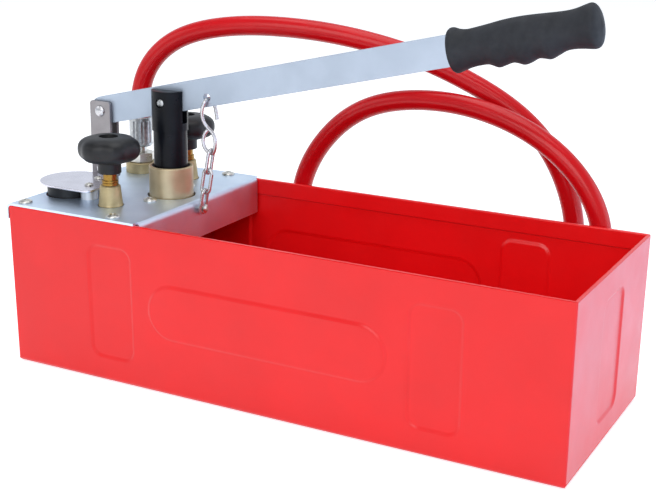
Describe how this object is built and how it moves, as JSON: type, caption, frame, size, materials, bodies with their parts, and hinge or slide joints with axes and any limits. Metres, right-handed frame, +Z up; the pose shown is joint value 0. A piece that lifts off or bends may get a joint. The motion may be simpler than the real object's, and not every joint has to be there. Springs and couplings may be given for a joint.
{
  "type": "hydrostatic test pump",
  "caption": "Hand-lever hydrostatic test pump on an open sheet-steel tank, with brass cylinder, shut-off valves, gauge under a swinging guard and a long red hose.",
  "frame": {"origin": "middle of the tank's underside, on the floor", "axes": "+X along the tank to its open end, -Y the front side, +Z up"},
  "size_m": [0.515, 0.2625, 0.3391],
  "materials": {
    "red_powder_coat": "gloss",
    "zinc_sheet": "satin",
    "bright_zinc": "satin",
    "cast_brass": "satin",
    "turned_brass": "gloss",
    "blacked_steel": "satin",
    "black_plastic": "matte",
    "black_rubber": "matte",
    "red_hose": "satin",
    "white_dial": "satin",
    "clear_lens": "gloss"
  },
  "bodies": {
    "frame": {"tank": "red_powder_coat", "cover_plate": "zinc_sheet", "plate_screws": "bright_zinc", "plate_nuts": "bright_zinc", "pump_body": "cast_brass", "body_screws": "bright_zinc", "cylinder_barrel": "cast_brass", "cylinder_collar": "turned_brass", "guide_bush": "turned_brass", "rod_seal": "black_rubber", "wiper_ring": "black_rubber", "suction_valve_body": "turned_brass", "suction_spring": "bright_zinc", "strainer": "black_plastic", "delivery_spring": "bright_zinc", "strap_lug": "bright_zinc", "lug_screws": "bright_zinc", "strap_front": "bright_zinc", "strap_rear": "bright_zinc", "strap_pin": "bright_zinc", "fulcrum_pin": "bright_zinc", "bonnet_front": "cast_brass", "bonnet_rear": "cast_brass", "gland_nuts": "turned_brass", "spindle_seals": "black_rubber", "gauge_case": "black_plastic", "gauge_stem": "turned_brass", "bourdon_tube": "turned_brass", "gauge_dial": "white_dial", "gauge_lens": "clear_lens", "guard_posts": "bright_zinc", "guard_screws": "bright_zinc", "outlet_collar": "cast_brass", "outlet_nut": "bright_zinc", "hose_nipple": "bright_zinc", "hose_ferrule": "bright_zinc", "hose": "red_hose", "end_ferrule": "bright_zinc", "end_nipple": "bright_zinc", "end_nut": "bright_zinc", "chain_links": "bright_zinc", "chain_anchor": "bright_zinc", "anchor_nut": "bright_zinc"},
    "lever": {"lever": "bright_zinc", "grip": "black_plastic"},
    "piston": {"piston": "blacked_steel", "piston_pin": "bright_zinc"},
    "hook": {"s_hook": "bright_zinc"},
    "spindle_front": {"spindle_front": "turned_brass"},
    "spindle_rear": {"spindle_rear": "turned_brass"},
    "knob_front": {"knob_front": "black_plastic", "knob_screw_front": "bright_zinc"},
    "knob_rear": {"knob_rear": "black_plastic", "knob_screw_rear": "bright_zinc"},
    "pointer": {"gauge_pointer": "black_plastic"},
    "guard": {"gauge_guard": "zinc_sheet"},
    "suction_ball": {"suction_ball": "bright_zinc"},
    "delivery_ball": {"delivery_ball": "bright_zinc"}
  },
  "joints": [
    {"name": "lever_swing", "type": "hinge", "parent": "frame", "child": "lever", "pos_m": [-0.224, 0, 0.216], "axis": [0, -1, 0], "range_deg": [-24, 0], "deforming": ["chain_links"]},
    {"name": "piston_stroke", "type": "slide", "parent": "frame", "child": "piston", "axis": [0, 0, 1], "range_m": [-0.031, 0]},
    {"name": "hook_swing", "type": "hinge", "parent": "lever", "child": "hook", "pos_m": [-0.11109, 0, 0.23707], "axis": [0, -1, 0], "range_deg": [0, 24]},
    {"name": "spindle_front_rise", "type": "slide", "parent": "frame", "child": "spindle_front", "axis": [0, 0, 1], "range_m": [-0.0015, 0.003]},
    {"name": "knob_front_turn", "type": "hinge", "parent": "spindle_front", "child": "knob_front", "pos_m": [-0.175, -0.0585, 0.195], "axis": [0, 0, 1], "range_deg": [-362, 722]},
    {"name": "spindle_rear_rise", "type": "slide", "parent": "frame", "child": "spindle_rear", "axis": [0, 0, 1], "range_m": [-0.0015, 0.003]},
    {"name": "knob_rear_turn", "type": "hinge", "parent": "spindle_rear", "child": "knob_rear", "pos_m": [-0.175, 0.0585, 0.195], "axis": [0, 0, 1], "range_deg": [-362, 722]},
    {"name": "pointer_turn", "type": "hinge", "parent": "frame", "child": "pointer", "pos_m": [-0.231, -0.044, 0.149], "axis": [0, 0, -1], "range_deg": [0, 270], "stiffness_Nm_per_rad": 0.0002},
    {"name": "guard_swing", "type": "hinge", "parent": "frame", "child": "guard", "pos_m": [-0.204, -0.051, 0.158], "axis": [0, 0, 1], "range_deg": [0, 90]},
    {"name": "suction_ball_lift", "type": "slide", "parent": "frame", "child": "suction_ball", "axis": [0, 0, 1], "range_m": [0, 0.002], "stiffness_N_per_m": 100, "deforming": ["suction_spring"]},
    {"name": "delivery_ball_lift", "type": "slide", "parent": "frame", "child": "delivery_ball", "axis": [0, 0, 1], "range_m": [0, 0.002], "stiffness_N_per_m": 100, "deforming": ["delivery_spring"]}
  ],
  "couplings": [
    {"joint": "piston_stroke", "follows": "lever_swing", "m_per_rad": 0.0735},
    {"joint": "hook_swing", "follows": "lever_swing", "ratio": -1},
    {"joint": "knob_front_turn", "follows": "spindle_front_rise", "rad_per_m": 4188.8},
    {"joint": "knob_rear_turn", "follows": "spindle_rear_rise", "rad_per_m": 4188.8}
  ]
}
